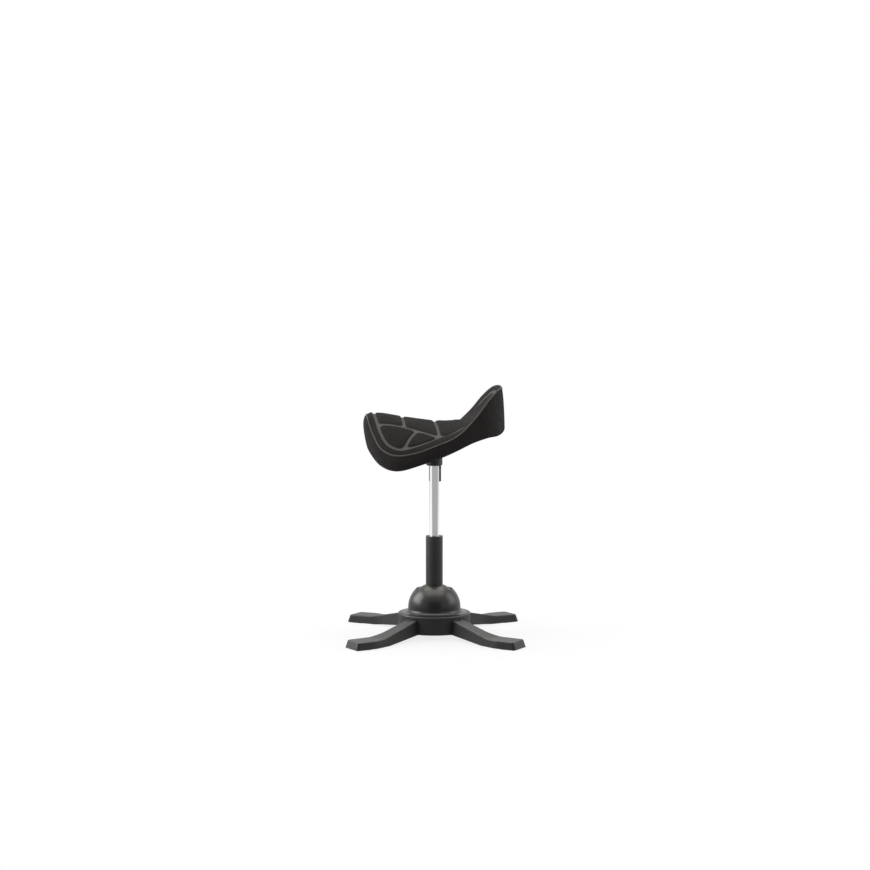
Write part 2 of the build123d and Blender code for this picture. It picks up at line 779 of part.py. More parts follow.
# Mount tray: a pressed channel under the seat with ears for the lever's pin
with BuildPart() as mount_tray:
    tray_floor_top = tray_bottom + tray_thickness
    flange_bottom = tray_top - tray_thickness
    wall_foot = tray_floor_half_length
    wall_head = tray_floor_half_length + tray_slope
    with BuildSketch(Plane.XZ):
        with BuildLine():
            Polyline(
                (0, tray_bottom),
                (wall_foot, tray_bottom),
                (wall_head, flange_bottom),
                (tray_half_length, flange_bottom),
                (tray_half_length, tray_top),
                (wall_head - tray_thickness, tray_top),
                (wall_foot - tray_thickness, tray_floor_top),
                (0, tray_floor_top),
            )
            mirror(about=Plane.YZ)
        make_face()
    extrude(amount=tray_half_width, both=True)
    ear_top = lever_pivot_z + lever_hub_radius
    with BuildSketch(Plane.XY.offset(tray_floor_top)):
        with Locations(
            (lever_hub_half_length + air_gap + ear_thickness / 2, lever_pivot_y),
            (-lever_hub_half_length - air_gap - ear_thickness / 2, lever_pivot_y),
        ):
            Rectangle(ear_thickness, 2 * ear_half_depth)
    extrude(amount=ear_top - tray_floor_top)
    with BuildSketch(Plane.XY.offset(tray_bottom)):
        Circle(socket_spigot_radius + slide_fit)
    extrude(amount=tray_thickness, mode=Mode.SUBTRACT)
    with BuildSketch(Plane.YZ):
        with Locations((lever_pivot_y, lever_pivot_z)):
            Circle(lever_pin_radius + slide_fit)
    extrude(amount=wall_foot, both=True, mode=Mode.SUBTRACT)
    with BuildSketch(Plane.XY.offset(flange_bottom)):
        with GridLocations(2 * tray_bolt_x, 2 * tray_bolt_y, 2, 2):
            Circle(tray_bolt_radius + slide_fit)
    extrude(amount=tray_thickness, mode=Mode.SUBTRACT)
save(mount_tray, "mount_tray")

# Tray bolts and the threaded inserts that they enter in the seat pan
with BuildPart() as tray_bolts:
    with BuildSketch(Plane.XY.offset(flange_bottom)):
        with GridLocations(2 * tray_bolt_x, 2 * tray_bolt_y, 2, 2):
            Circle(tray_bolt_head_radius)
    extrude(amount=-tray_bolt_head_height)
    with BuildSketch(Plane.XY.offset(flange_bottom)):
        with GridLocations(2 * tray_bolt_x, 2 * tray_bolt_y, 2, 2):
            Circle(tray_bolt_radius)
    extrude(amount=tray_thickness + insert_height)
save(tray_bolts, "tray_bolts")

with BuildPart() as pan_inserts:
    with BuildSketch(Plane.XY.offset(tray_top)):
        with GridLocations(2 * tray_bolt_x, 2 * tray_bolt_y, 2, 2):
            Circle(insert_radius)
            Circle(tray_bolt_radius + slide_fit, mode=Mode.SUBTRACT)
    extrude(amount=insert_height)
save(pan_inserts, "pan_inserts")

# Lever pin: across the tray's ears
with BuildPart() as lever_pin:
    with BuildSketch(Plane.YZ):
        with Locations((lever_pivot_y, lever_pivot_z)):
            Circle(lever_pin_radius)
    extrude(amount=lever_hub_half_length + air_gap + ear_thickness, both=True)
save(lever_pin, "lever_pin")

# Release lever: a hub on the pin, a finger over the button and a bent rod out to the paddle
with BuildPart() as release_lever:
    finger_bottom = button_top + air_gap
    with BuildSketch(Plane.YZ):
        with Locations((lever_pivot_y, lever_pivot_z)):
            Circle(lever_hub_radius)
    extrude(amount=lever_hub_half_length, both=True)
    with BuildSketch(Plane.XY.offset(finger_bottom)):
        with Locations((0, (lever_pivot_y - button_radius) / 2)):
            Rectangle(2 * finger_half_width, lever_pivot_y + button_radius)
    extrude(amount=lever_hub_radius)
    rod_plane = Plane.YZ.offset(paddle_shift)
    with BuildLine(rod_plane) as rod_route:
        FilletPolyline(
            (lever_pivot_y, lever_pivot_z),
            (tray_half_width + lever_bend_radius, lever_pivot_z),
            (lever_reach, paddle_top + lever_bend_radius),
            (lever_reach, paddle_top),
            radius=lever_bend_radius,
        )
    with BuildSketch(Plane(rod_route.line @ 0, z_dir=rod_route.line % 0)):
        Circle(lever_rod_radius)
    sweep()
    with BuildSketch(Plane.YZ):
        with Locations((lever_pivot_y, lever_pivot_z)):
            Circle(lever_pin_radius + slide_fit)
    extrude(amount=lever_hub_half_length, both=True, mode=Mode.SUBTRACT)
save(release_lever, "release_lever")

# Lever paddle: the flat grip that hangs behind the column
with BuildPart() as lever_paddle:
    paddle_left = paddle_shift - paddle_half_width
    paddle_right = paddle_shift + paddle_half_width
    with BuildSketch(Plane.XZ.offset(-lever_reach)):
        with BuildLine():
            FilletPolyline(
                (paddle_left, paddle_bottom),
                (paddle_right, paddle_bottom),
                (paddle_right, paddle_top),
                (paddle_left, paddle_top),
                radius=[paddle_bottom_corner, paddle_bottom_corner, paddle_top_corner, paddle_top_corner],
                close=True,
            )
        make_face()
    extrude(amount=paddle_thickness / 2, both=True)
save(lever_paddle, "lever_paddle")

# Saddle stations from nose to cantle: place along and half widths are shares of the seat's half
# length and half width, and heights are above the middle of the seat's underside
Station = namedtuple("Station", "along rim_half rim crown hem_half hem under")
stations = [
    Station(-1.00, 0.12, 58, 60, 0.13, 8, 10),
    Station(-0.965, 0.27, 64, 76, 0.29, -23, 4),
    Station(-0.885, 0.53, 39, 80, 0.55, -46, 1),
    Station(-0.76, 0.77, 1, 79, 0.79, -66, 0),
    Station(-0.565, 0.94, -27, 74, 0.95, -75, 0),
    Station(-0.29, 1.00, -25, 65, 1.00, -62, 0),
    Station(0.005, 0.99, -7, 57.5, 0.985, -42, 0),
    Station(0.30, 0.92, 24, 58, 0.92, -18, 3),
    Station(0.55, 0.82, 68, 65, 0.83, 5, 11),
    Station(0.75, 0.725, 118, 93, 0.745, 17, 21),
    Station(0.885, 0.57, 147, 131, 0.605, 21, 24),
    Station(0.965, 0.335, 153, 150, 0.41, 26, 28),
    Station(1.00, 0.16, 143, 142, 0.22, 40, 41),
]


# Sewn seams of the seat's right half, as shares of its half length and half width
wing_seam = [(-0.88, 0.45), (-0.36, 0.53), (0.06, 0.75)]
straight_seams = [
    [(-0.465, 0.0), (-0.44, 0.48)],
    [(0.0, 0.0), (0.06, 0.75)],
    [(-0.27, 0.59), (-0.44, 0.86)],
]


def station_x(station, inset):
    """Place of a station along the seat, where only the nose and the cantle are drawn in."""
    return seat_shift + station.along * seat_half_length - inset * station.along ** end_sharpness


def saddle_form(inset, drop, rise, bulge):
    """Loft of the saddle, drawn in at its sides, lowered on top and raised underneath."""
    with BuildPart() as form:
        for station in stations:
            rim_half = station.rim_half * seat_half_width - inset
            hem_half = station.hem_half * seat_half_width - inset
            rim = seat_base + station.rim - drop
            hem = seat_base + station.hem + rise
            band_half = (rim_half + hem_half) / 2 + bulge
            band = (rim + hem) / 2
            with BuildSketch(Plane.YZ.offset(station_x(station, inset))):
                with BuildLine():
                    ThreePointArc((-rim_half, rim), (0, seat_base + station.crown - drop), (rim_half, rim))
                    ThreePointArc((rim_half, rim), (band_half, band), (hem_half, hem))
                    ThreePointArc((hem_half, hem), (0, seat_base + station.under + rise), (-hem_half, hem))
                    ThreePointArc((-hem_half, hem), (-band_half, band), (-rim_half, rim))
                make_face()
        loft()
    return form.part


def pan_form(inset, thickness, depth):
    """Loft of the seat's underside, this thick above it and this deep below it, short of the tail."""
    with BuildPart() as form:
        for station in stations[:-1]:
            half = station.hem_half * seat_half_width - inset
            hem = seat_base + station.hem
            middle = seat_base + station.under
            with BuildSketch(Plane.YZ.offset(station_x(station, inset))):
                with BuildLine():
                    ThreePointArc((-half, hem + thickness), (0, middle + thickness), (half, hem + thickness))
                    Line((half, hem + thickness), (half, hem - depth))
                    ThreePointArc((half, hem - depth), (0, middle - depth), (-half, hem - depth))
                    Line((-half, hem - depth), (-half, hem + thickness))
                make_face()
        loft()
    return form.part


def seat_point(along, across):
    """Place on the seat's plan, from shares of its half length and half width."""
    return (seat_shift + along * seat_half_length, across * seat_half_width)


def channel_form(width):
    """Upright strips over the sewn channels: a border, two cross seams and two wing seams a side."""
    with BuildPart() as strips:
        with BuildSketch(Plane.XY.offset(seat_base - seat_half_width)):
            for edge, mode in ((width / 2, Mode.ADD), (-width / 2, Mode.SUBTRACT)):
                reach = border_inset - edge
                right = [
                    (station_x(s, reach), s.rim_half * seat_half_width - reach) for s in stations[2:-2]
                ]
                left = [(x, -y) for x, y in reversed(right)]
                nose = (station_x(stations[0], reach), 0)
                tail = (station_x(stations[-1], reach), 0)
                with BuildLine():
                    Spline(nose, *right, tail, *left, periodic=True)
                make_face(mode=mode)
            for side in (1, -1):
                wing = [seat_point(along, across * side) for along, across in wing_seam]
                SlotArc(ThreePointArc(*wing), width)
                for seam in straight_seams:
                    start, end = [Vector(*seat_point(along, across * side)) for along, across in seam]
                    SlotCenterPoint((start + end) / 2, end, width)
        extrude(amount=3 * seat_half_width)
    return strips.part


skin_outside = saddle_form(0, 0, 0, band_bulge)
channel_floor = saddle_form(0, channel_depth, -channel_depth, band_bulge)
skin_inside = saddle_form(cover_thickness, quilt_thickness, -clear_depth, foam_bulge)

# Seat cover: the quilted fabric over the top and the band round it, open underneath
with BuildPart() as seat_cover:
    add(skin_outside)
    add(channel_form(channel_width) - channel_floor, mode=Mode.SUBTRACT)
    add(skin_inside, mode=Mode.SUBTRACT)
save(seat_cover, "seat_cover")

# Seat foam: fills the cover above the pan
foam_inset = cover_thickness + soft_gap
with BuildPart() as seat_foam:
    add(saddle_form(foam_inset, quilt_thickness + soft_gap, pan_thickness + soft_gap, foam_bulge))
save(seat_foam, "seat_foam")

pan_shell = pan_form(foam_inset, pan_thickness, 0)
pan_block = pan_form(foam_inset, pan_thickness, clear_depth)

# Seat pan: a moulded shell with a flat boss that the tray is bolted to
with BuildPart() as seat_pan:
    with BuildSketch(Plane.XY.offset(tray_top)):
        Rectangle(2 * tray_half_length, 2 * tray_half_width)
    extrude(amount=pan_boss_height + 2 * pan_thickness)
    add(pan_block, mode=Mode.INTERSECT)
    add(pan_shell)
    with BuildSketch(Plane.XY.offset(tray_top)):
        with GridLocations(2 * tray_bolt_x, 2 * tray_bolt_y, 2, 2):
            Circle(insert_radius + slide_fit)
    extrude(amount=insert_height + air_gap, mode=Mode.SUBTRACT)
save(seat_pan, "seat_pan")
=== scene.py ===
import json
from collections import namedtuple
from math import atan2, cos, radians, sin, tau

import bpy
import numpy as np
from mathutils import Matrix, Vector
from mathutils.kdtree import KDTree


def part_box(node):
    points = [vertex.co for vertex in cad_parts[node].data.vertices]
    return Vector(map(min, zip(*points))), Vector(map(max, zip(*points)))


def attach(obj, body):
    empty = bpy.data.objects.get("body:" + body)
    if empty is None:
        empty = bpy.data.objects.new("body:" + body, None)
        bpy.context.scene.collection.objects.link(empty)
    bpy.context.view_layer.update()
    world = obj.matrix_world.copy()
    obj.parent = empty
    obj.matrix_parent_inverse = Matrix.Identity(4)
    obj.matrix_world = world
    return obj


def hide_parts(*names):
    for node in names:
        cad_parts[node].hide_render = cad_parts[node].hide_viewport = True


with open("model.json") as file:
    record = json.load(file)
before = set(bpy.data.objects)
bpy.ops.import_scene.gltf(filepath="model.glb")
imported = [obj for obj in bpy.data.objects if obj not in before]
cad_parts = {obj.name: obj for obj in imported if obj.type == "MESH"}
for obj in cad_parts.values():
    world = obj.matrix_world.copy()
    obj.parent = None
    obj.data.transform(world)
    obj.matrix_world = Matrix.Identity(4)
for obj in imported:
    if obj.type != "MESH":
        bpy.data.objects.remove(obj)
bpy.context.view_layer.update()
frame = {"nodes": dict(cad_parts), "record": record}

# Balance chair: a quilted saddle seat on a gas lift that rocks in a domed four-leg base.
# Lengths are metres. The sitter faces -X, and the camera looks at the chair's side from -Y.

scene = bpy.context.scene
bpy.ops.object.select_all(action="DESELECT")
mm = 0.001

# Saddle sizes, read from the frame where it has them
band_bulge = 4 * mm
pan_boss_height = 11 * mm
pan_thickness = 8 * mm
pan_inset = 3.5 * mm
cover_low, cover_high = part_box("seat_cover")
seat_middle = (cover_low.x + cover_high.x) / 2
seat_half_length = (cover_high.x - cover_low.x) / 2
seat_half_width = cover_high.y - band_bulge
seat_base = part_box("mount_tray")[1].z + pan_boss_height

# Quilting
channel_half_width = 4.2 * mm
channel_shoulder = 3.0 * mm
channel_depth = 3.2 * mm
channel_loss = 0.6         # share of that depth that is lost towards the cantle
strip_inside = 1.8 * mm    # the pale strip starts to fade this far inside the channel's edge
strip_outside = 1.2 * mm   # and is gone this far outside it
corner_reach = 14 * mm     # of the rounding where channels meet
pad_sink = 2.6 * mm        # the sewn surface under the panels' tops
start_puff_share = 0.4     # of the sink, given back to the panels before the simulation
pad_swell_limit = 5.0 * mm
border_loss = 0.7          # share of that limit that the border loses towards the cantle
pad_shoulder = 7 * mm
piping_radius = 2.3 * mm
seam_valley = 1.4 * mm     # depth of the fold beside the piping
valley_place = 4 * mm      # of the fold's lowest line, from the rim
valley_width = 2.5 * mm
rim_edge = 1 * mm          # points of the top nearer to the rim than this stay sewn to it
top_edge = 1.5 * mm        # and those nearer than this take no channel
top_depth = 12 * mm        # points further under the top's plain form than this take no channel
cantle_roll = 6 * mm       # rise of the padded edge over the piping on the cantle
roll_reach = 2.2           # how far in the roll ends, in widths of the border

# Stretches along the seat, from -1 at the nose to 1 at the cantle, over which the quilting changes
sink_ends = (0.1, 0.4)
channels_fade = (0.1, 0.5)
border_flattens = (0.05, 0.3)
roll_grows = (0.45, 0.75)

# Side band and hem
nose_bulge = 4 * mm        # of the band at the nose, beyond its bulge elsewhere
tail_bulge = -1 * mm       # and at the back of the cantle, where it is flatter
end_lift = 0.35            # how much the bulge moves up at the nose and at the cantle
row_crowding = 1.4         # draws the band's rows together under the rim
hem_radius = 8 * mm
hem_lap = 22 * mm          # fabric turned under the pan
fabric_thickness = 1.4 * mm
pan_touch = 0.1 * mm       # between the fabric and the pan's underside
pan_room = 1 * mm          # between the pan's top and the padding

# Mesh of the cushion
half_grid = 58
loop_count = 8 * half_grid
band_rows = 10
corner_rows = 4
curve_steps = 40
slope_samples = 61
channel_samples = 500
cloth_frames = 20

# Saddle stations from nose to cantle: place along and half widths are shares of the seat's half
# length and half width, and heights are millimetres above the middle of the seat's underside
Station = namedtuple("Station", "along rim_half rim crown hem_half hem under")
stations = [
    Station(-0.965, 0.27, 66, 76, 0.29, -23, 4),
    Station(-0.885, 0.53, 22, 81.5, 0.55, -46, 1),
    Station(-0.76, 0.77, -16, 80.5, 0.79, -66, 0),
    Station(-0.565, 0.94, -30, 74, 0.95, -75, 0),
    Station(-0.29, 1.00, -22, 65, 1.00, -62, 0),
    Station(0.005, 0.99, -1, 57.5, 0.985, -42, 0),
    Station(0.30, 0.91, 24.5, 55, 0.92, -18, 3),
    Station(0.55, 0.79, 70.5, 59, 0.83, 5, 11),
    Station(0.75, 0.67, 121, 93, 0.745, 17, 21),
    Station(0.885, 0.48, 148, 132, 0.605, 19, 24),
    Station(0.965, 0.25, 154, 151, 0.41, 22, 27),
]

# How far the border channel lies in from the piping, in millimetres, from nose to cantle
border_along = [-1.0, -0.45, 0.10, 0.45, 0.80, 1.0]
border_insets = [23, 25, 38, 37, 34, 20]

# Channels inside the border, as shares of the half length and half width: bent lines across the seat,
# by their place in the middle, their place at the ends and their reach, and on each side an arc along
# the wing and a short stub out to the border
cross_channels = [(-0.465, -0.44, 0.44), (0.0, 0.055, 0.78)]
wing_channel = [(-0.88, 0.45), (-0.36, 0.53), (0.06, 0.79)]
stub_channel = [(-0.285, 0.62), (-0.47, 0.92)]


def smooth_line(points, closed=False):
    """Curve through the points, with the same number of steps between each pair."""
    points = np.array(points, float)
    if closed:
        padded = np.vstack([points[-1:], points, points[:2]])
    else:
        padded = np.vstack([2 * points[:1] - points[1:2], points, 2 * points[-1:] - points[-2:-1]])
    share = np.linspace(0, 1, curve_steps, endpoint=False)[:, None]
    spans = []
    for a, b, c, d in zip(padded, padded[1:], padded[2:], padded[3:]):
        t1 = np.sqrt(np.linalg.norm(b - a))
        t2 = t1 + np.sqrt(np.linalg.norm(c - b))
        t3 = t2 + np.sqrt(np.linalg.norm(d - c))
        t = t1 + (t2 - t1) * share
        ab = ((t1 - t) * a + t * b) / t1
        bc = ((t2 - t) * b + (t - t1) * c) / (t2 - t1)
        cd = ((t3 - t) * c + (t - t2) * d) / (t3 - t2)
        abc = ((t2 - t) * ab + t * bc) / t2
        bcd = ((t3 - t) * bc + (t - t1) * cd) / (t3 - t1)
        spans.append(((t2 - t) * abc + (t - t1) * bcd) / (t2 - t1))
    if not closed:
        spans.append(points[-1:])
    return np.vstack(spans)


def seat_place(along, across, height):
    """Point of the seat from shares of its half length and half width and a height in millimetres."""
    return (seat_middle + along * seat_half_length, across * seat_half_width, seat_base + height * mm)


def seat_loop(half, height, nose, tail):
    """Closed curve round the seat through one edge of every station, from the nose and anticlockwise."""
    left = [seat_place(s.along, -getattr(s, half), getattr(s, height)) for s in stations]
    right = [(x, -y, z) for x, y, z in reversed(left)]
    return smooth_line([nose, *left, tail, *right], closed=True)


rim_nose, rim_tail = seat_place(-0.978, 0, 74), seat_place(0.980, 0, 150)
hem_nose, hem_tail = seat_place(-1.0, 0, 10), seat_place(1.028, 0, 28)
rim_curve = seat_loop("rim_half", "rim", rim_nose, rim_tail)
hem_curve = seat_loop("hem_half", "hem", hem_nose, hem_tail)
crown_line = smooth_line([rim_nose, *[seat_place(s.along, 0, s.crown) for s in stations], rim_tail])
under_line = smooth_line([hem_nose, *[seat_place(s.along, 0, s.under) for s in stations], hem_tail])


def arch_height(x, y, edge_curve, middle_line, inset=0.0):
    """Height of a surface that is an arc across the seat, from the middle line to the edge curve."""
    least_half = 1 * mm
    least_sag = 0.1 * mm
    side = edge_curve[edge_curve[:, 1] <= 0]
    side = side[np.argsort(side[:, 0])]
    half = np.maximum(np.interp(x, side[:, 0], -side[:, 1]) - inset, least_half)
    edge = np.interp(x, side[:, 0], side[:, 2])
    middle = np.interp(x, middle_line[:, 0], middle_line[:, 2])
    across = np.clip(np.abs(y) / half, 0, 1) * half
    sag = middle - edge
    sag = np.where(np.abs(sag) < least_sag, least_sag, sag)
    radius = (half ** 2 + sag ** 2) / (2 * np.abs(sag))
    fall = radius - np.sqrt(np.maximum(radius ** 2 - across ** 2, 0))
    return middle - np.sign(sag) * fall


def top_height(x, y):
    return arch_height(x, y, rim_curve, crown_line)


def pan_height(x, y):
    return arch_height(x, y, hem_curve, under_line, pan_inset)


def along_loop(curve, guide, shares):
    """Points of a closed curve at these shares of the guide curve's length, matched point for point."""
    closed_guide = np.vstack([guide, guide[:1]])
    closed_curve = np.vstack([curve, curve[:1]])
    length = np.concatenate([[0], np.cumsum(np.linalg.norm(np.diff(closed_guide, axis=0), axis=1))])
    wanted = np.mod(shares, 1.0) * length[-1]
    return np.stack([np.interp(wanted, length, closed_curve[:, axis]) for axis in range(3)], axis=1)


def smooth_step(value, low, high):
    share = np.clip((value - low) / (high - low), 0, 1)
    return share * share * (3 - 2 * share)


def nearest_distance(points, tree):
    """Distance from each point to the nearest sample in the tree."""
    return np.array([tree.find(point)[2] for point in points])


def tree_of(samples):
    tree = KDTree(len(samples))
    for index, sample in enumerate(samples):
        tree.insert(sample, index)
    tree.balance()
    return tree


def eased_least(first, second):
    """The lesser of two distances, eased where they are alike, which rounds the corners between channels."""
    alike = np.maximum(corner_reach - np.abs(first - second), 0) / corner_reach
    return np.minimum(first, second) - alike * alike * corner_reach / 4


def arc_through(start, middle, end, count):
    """Points of the plan arc through three places."""
    (ax, ay), (bx, by), (cx, cy) = start, middle, end
    turn = 2 * (ax * (by - cy) + bx * (cy - ay) + cx * (ay - by))
    a2, b2, c2 = ax * ax + ay * ay, bx * bx + by * by, cx * cx + cy * cy
    ox = (a2 * (by - cy) + b2 * (cy - ay) + c2 * (ay - by)) / turn
    oy = (a2 * (cx - bx) + b2 * (ax - cx) + c2 * (bx - ax)) / turn
    first, last = atan2(ay - oy, ax - ox), atan2(cy - oy, cx - ox)
    angle = np.linspace(first, first + (last - first + np.pi) % (2 * np.pi) - np.pi, count)
    radius = np.hypot(ax - ox, ay - oy)
    return np.stack([ox + radius * np.cos(angle), oy + radius * np.sin(angle)], axis=1)


def straight_through(places, count):
    """Points along straight runs between plan places."""
    places = np.array(places)
    length = np.concatenate([[0], np.cumsum(np.linalg.norm(np.diff(places, axis=0), axis=1))])
    wanted = np.linspace(0, length[-1], count)
    return np.stack([np.interp(wanted, length, places[:, axis]) for axis in range(2)], axis=1)


def plan_places(shares, side=1):
    """Plan places from shares of the seat's half length and half width, on one side or mirrored."""
    return [seat_place(along, across * side, 0)[:2] for along, across in shares]


def channel_trees():
    """Points along the middle of each sewn channel inside the border, on the seat's top."""
    plans = []
    for middle, end, reach in cross_channels:
        cross = plan_places([(end, -reach), (middle, 0), (end, reach)])
        plans.append(straight_through(cross, channel_samples))
    for side in (1, -1):
        plans.append(arc_through(*plan_places(wing_channel, side), channel_samples))
        plans.append(straight_through(plan_places(stub_channel, side), channel_samples))
    return [tree_of(np.column_stack([plan, top_height(plan[:, 0], plan[:, 1])])) for plan in plans]


rim_tree = tree_of(rim_curve)
seam_trees = channel_trees()


def share_along(x):
    """Place along the seat, from -1 at the nose to 1 at the cantle."""
    return (x - seat_middle) / seat_half_length


def border_inset(x):
    """Distance from the piping to the border channel at this place along the seat."""
    return np.interp(share_along(x), border_along, border_insets) * mm


def channel_distance(points):
    """How far points of the seat's top lie from the middle of the nearest sewn channel."""
    plan = points.copy()
    plan[:, 2] = top_height(points[:, 0], points[:, 1])
    to_rim = nearest_distance(plan, rim_tree)
    inset = border_inset(points[:, 0])
    distance = np.abs(to_rim - inset)
    for tree in seam_trees:
        to_seam = np.where(to_rim < inset, seat_half_length, nearest_distance(plan, tree))
        distance = eased_least(distance, to_seam)
    return distance, to_rim


def even_reach(rim, centre, wanted):
    """How far out each point lies in plan, so that points follow one another evenly along the slope."""
    samples = np.linspace(0, 1, slope_samples)
    plan = centre + (rim[:, None, :2] - centre) * samples[None, :, None]
    height = top_height(plan[..., 0], plan[..., 1])
    steps = np.sqrt((np.diff(plan, axis=1) ** 2).sum(axis=2) + np.diff(height, axis=1) ** 2)
    length = np.concatenate([np.zeros((len(rim), 1)), np.cumsum(steps, axis=1)], axis=1)
    return np.array([np.interp(w * run[-1], run, samples) for w, run in zip(wanted, length)])


def cushion_top():
    """Places and faces of the top, a square grid drawn out to the rim, and its outermost ring in order."""
    size = 2 * half_grid + 1
    column, row = np.meshgrid(np.arange(size) - half_grid, np.arange(size) - half_grid, indexing="ij")
    i, j = column.ravel(), row.ravel()
    ring = np.maximum(np.abs(i), np.abs(j))
    step = np.select(
        [(i == ring) & (j < ring), (j == ring) & (i > -ring), (i == -ring) & (j > -ring)],
        [j + ring, 3 * ring - i, 5 * ring - j],
        7 * ring + i,
    )
    share = step / np.maximum(8 * ring, 1)
    rim = along_loop(rim_curve, rim_curve, share)
    centre = np.array([seat_middle, 0.0])
    plan = centre + (rim[:, :2] - centre) * even_reach(rim, centre, ring / half_grid)[:, None]
    height = np.where(ring == half_grid, rim[:, 2], top_height(plan[:, 0], plan[:, 1]))
    index = np.arange(size * size).reshape(size, size)
    corners = [index[:-1, :-1], index[1:, :-1], index[1:, 1:], index[:-1, 1:]]
    faces = np.stack(corners, axis=-1).reshape(-1, 4)
    outer = np.flatnonzero(ring == half_grid)
    outer = outer[np.argsort(step[outer])]
    return np.column_stack([plan, height]), faces, outer


def cushion_rings():
    """Rings from under the rim down the band, round the hem, under the pan's edge and back over the pan."""
    share = np.arange(loop_count) / loop_count
    rim = along_loop(rim_curve, rim_curve, share)
    hem = along_loop(hem_curve, rim_curve, share)
    hem[:, 2] -= fabric_thickness
    ahead = np.roll(rim, -1, axis=0) - np.roll(rim, 1, axis=0)
    outward = np.stack([ahead[:, 1], -ahead[:, 0], np.zeros(loop_count)], axis=1)
    outward /= np.linalg.norm(outward, axis=1)[:, None]
    inward = np.array([seat_middle, 0.0, 0.0]) - hem * [1, 1, 0]
    reach = np.linalg.norm(inward, axis=1)[:, None]
    inward /= reach

    def under_pan(distance, rise):
        place = hem + inward * distance
        place[:, 2] = pan_height(place[:, 0], place[:, 1]) + rise
        return place

    fall = hem - rim
    fall_length = np.linalg.norm(fall, axis=1)[:, None]
    band_end = 1 - hem_radius / fall_length
    nose_share = np.where(outward[:, :1] < 0, outward[:, :1] ** 2, 0)
    tail_share = np.where(outward[:, :1] > 0, outward[:, :1] ** 2, 0)
    bulge = band_bulge + nose_bulge * nose_share + tail_bulge * tail_share
    lift = 1 - end_lift * nose_share - end_lift * tail_share
    rings = []
    for row in range(1, band_rows + 1):
        down = band_end * (row / band_rows) ** row_crowding
        swing = down ** lift
        rings.append(rim + fall * down + outward * bulge * 4 * swing * (1 - swing))
    corner_start = rings[-1]
    corner_end = under_pan(hem_radius, -fabric_thickness)
    for row in range(1, corner_rows + 1):
        t = row / corner_rows
        rings.append((1 - t) ** 2 * corner_start + 2 * t * (1 - t) * hem + t * t * corner_end)
    rings.append(under_pan(hem_lap, -fabric_thickness))
    rings.append(under_pan(hem_lap, -pan_touch))
    rings.append(under_pan(pan_inset, -pan_touch))
    for distance in (0.6 * pan_inset, hem_lap, 0.5 * reach, 0.9 * reach):
        rings.append(under_pan(distance, pan_thickness + pan_room))
    return rings


def make_mesh_object(name, places, faces):
    mesh = bpy.data.meshes.new(name)
    mesh.from_pydata([tuple(p) for p in places], [], [tuple(int(v) for v in face) for face in faces])
    mesh.update()
    piece = bpy.data.objects.new(name, mesh)
    scene.collection.objects.link(piece)
    return piece


def read_places(mesh):
    places = np.empty(len(mesh.vertices) * 3)
    mesh.vertices.foreach_get("co", places)
    return places.reshape(-1, 3)


def write_places(mesh, places):
    mesh.vertices.foreach_set("co", places.ravel())
    mesh.update()


def apply_modifier(piece, modifier):
    bpy.context.view_layer.objects.active = piece
    bpy.ops.object.modifier_apply(modifier=modifier.name)


def swell(piece, loose, limit):
    """Blow the loose points of a sewn pad up by cloth pressure, each within its own limit."""
    least_move = 1e-9
    before = read_places(piece.data)
    sewn = piece.vertex_groups.new(name="sewn")
    sewn.add([int(v) for v in np.flatnonzero(~loose)], 1.0, "REPLACE")
    cloth = piece.modifiers.new("cloth", "CLOTH")
    settings = cloth.settings
    settings.quality = 6
    settings.mass = 0.3
    settings.tension_stiffness = 12
    settings.compression_stiffness = 12
    settings.shear_stiffness = 4
    settings.bending_stiffness = 0.6
    settings.vertex_group_mass = "sewn"
    settings.use_pressure = True
    settings.uniform_pressure_force = 7
    settings.effector_weights.gravity = 0
    cloth.point_cache.frame_start = 1
    cloth.point_cache.frame_end = cloth_frames
    for number in range(1, cloth_frames + 1):
        scene.frame_set(number)
    swollen = piece.evaluated_get(bpy.context.evaluated_depsgraph_get()).data
    after = read_places(swollen)
    piece.modifiers.remove(cloth)
    scene.frame_set(1)
    piece.vertex_groups.remove(sewn)
    move = after - before
    length = np.linalg.norm(move, axis=1)
    eased = limit * np.tanh(length / limit)
    write_places(piece.data, before + move * (eased / np.maximum(length, least_move))[:, None])


